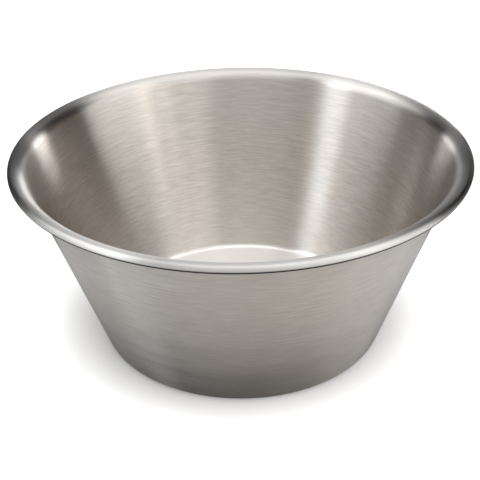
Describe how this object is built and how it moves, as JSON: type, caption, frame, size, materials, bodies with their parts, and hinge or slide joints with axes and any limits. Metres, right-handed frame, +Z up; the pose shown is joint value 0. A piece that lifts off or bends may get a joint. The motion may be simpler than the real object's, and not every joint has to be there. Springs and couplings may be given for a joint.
{
  "type": "conical bowl",
  "caption": "Deep conical bowl of brushed stainless sheet with a flat bottom, a straight flaring wall and a wired, rolled rim, for mixing, holding and serving food.",
  "frame": {"origin": "centre of the flat bottom, on the table", "axes": "+Z up along the bowl's axis of revolution; X and Y are alike"},
  "size_m": [0.3, 0.3, 0.132],
  "materials": {
    "brushed_sheet": "stainless sheet, satin-brushed round the bowl inside and out, with an even, fine satin rim",
    "drawn_wire": "plain drawn steel wire, hidden in the curl of the rim"
  },
  "bodies": {
    "root": {"bowl_shell": "brushed_sheet", "rim_wire": "drawn_wire"}
  },
  "joints": []
}
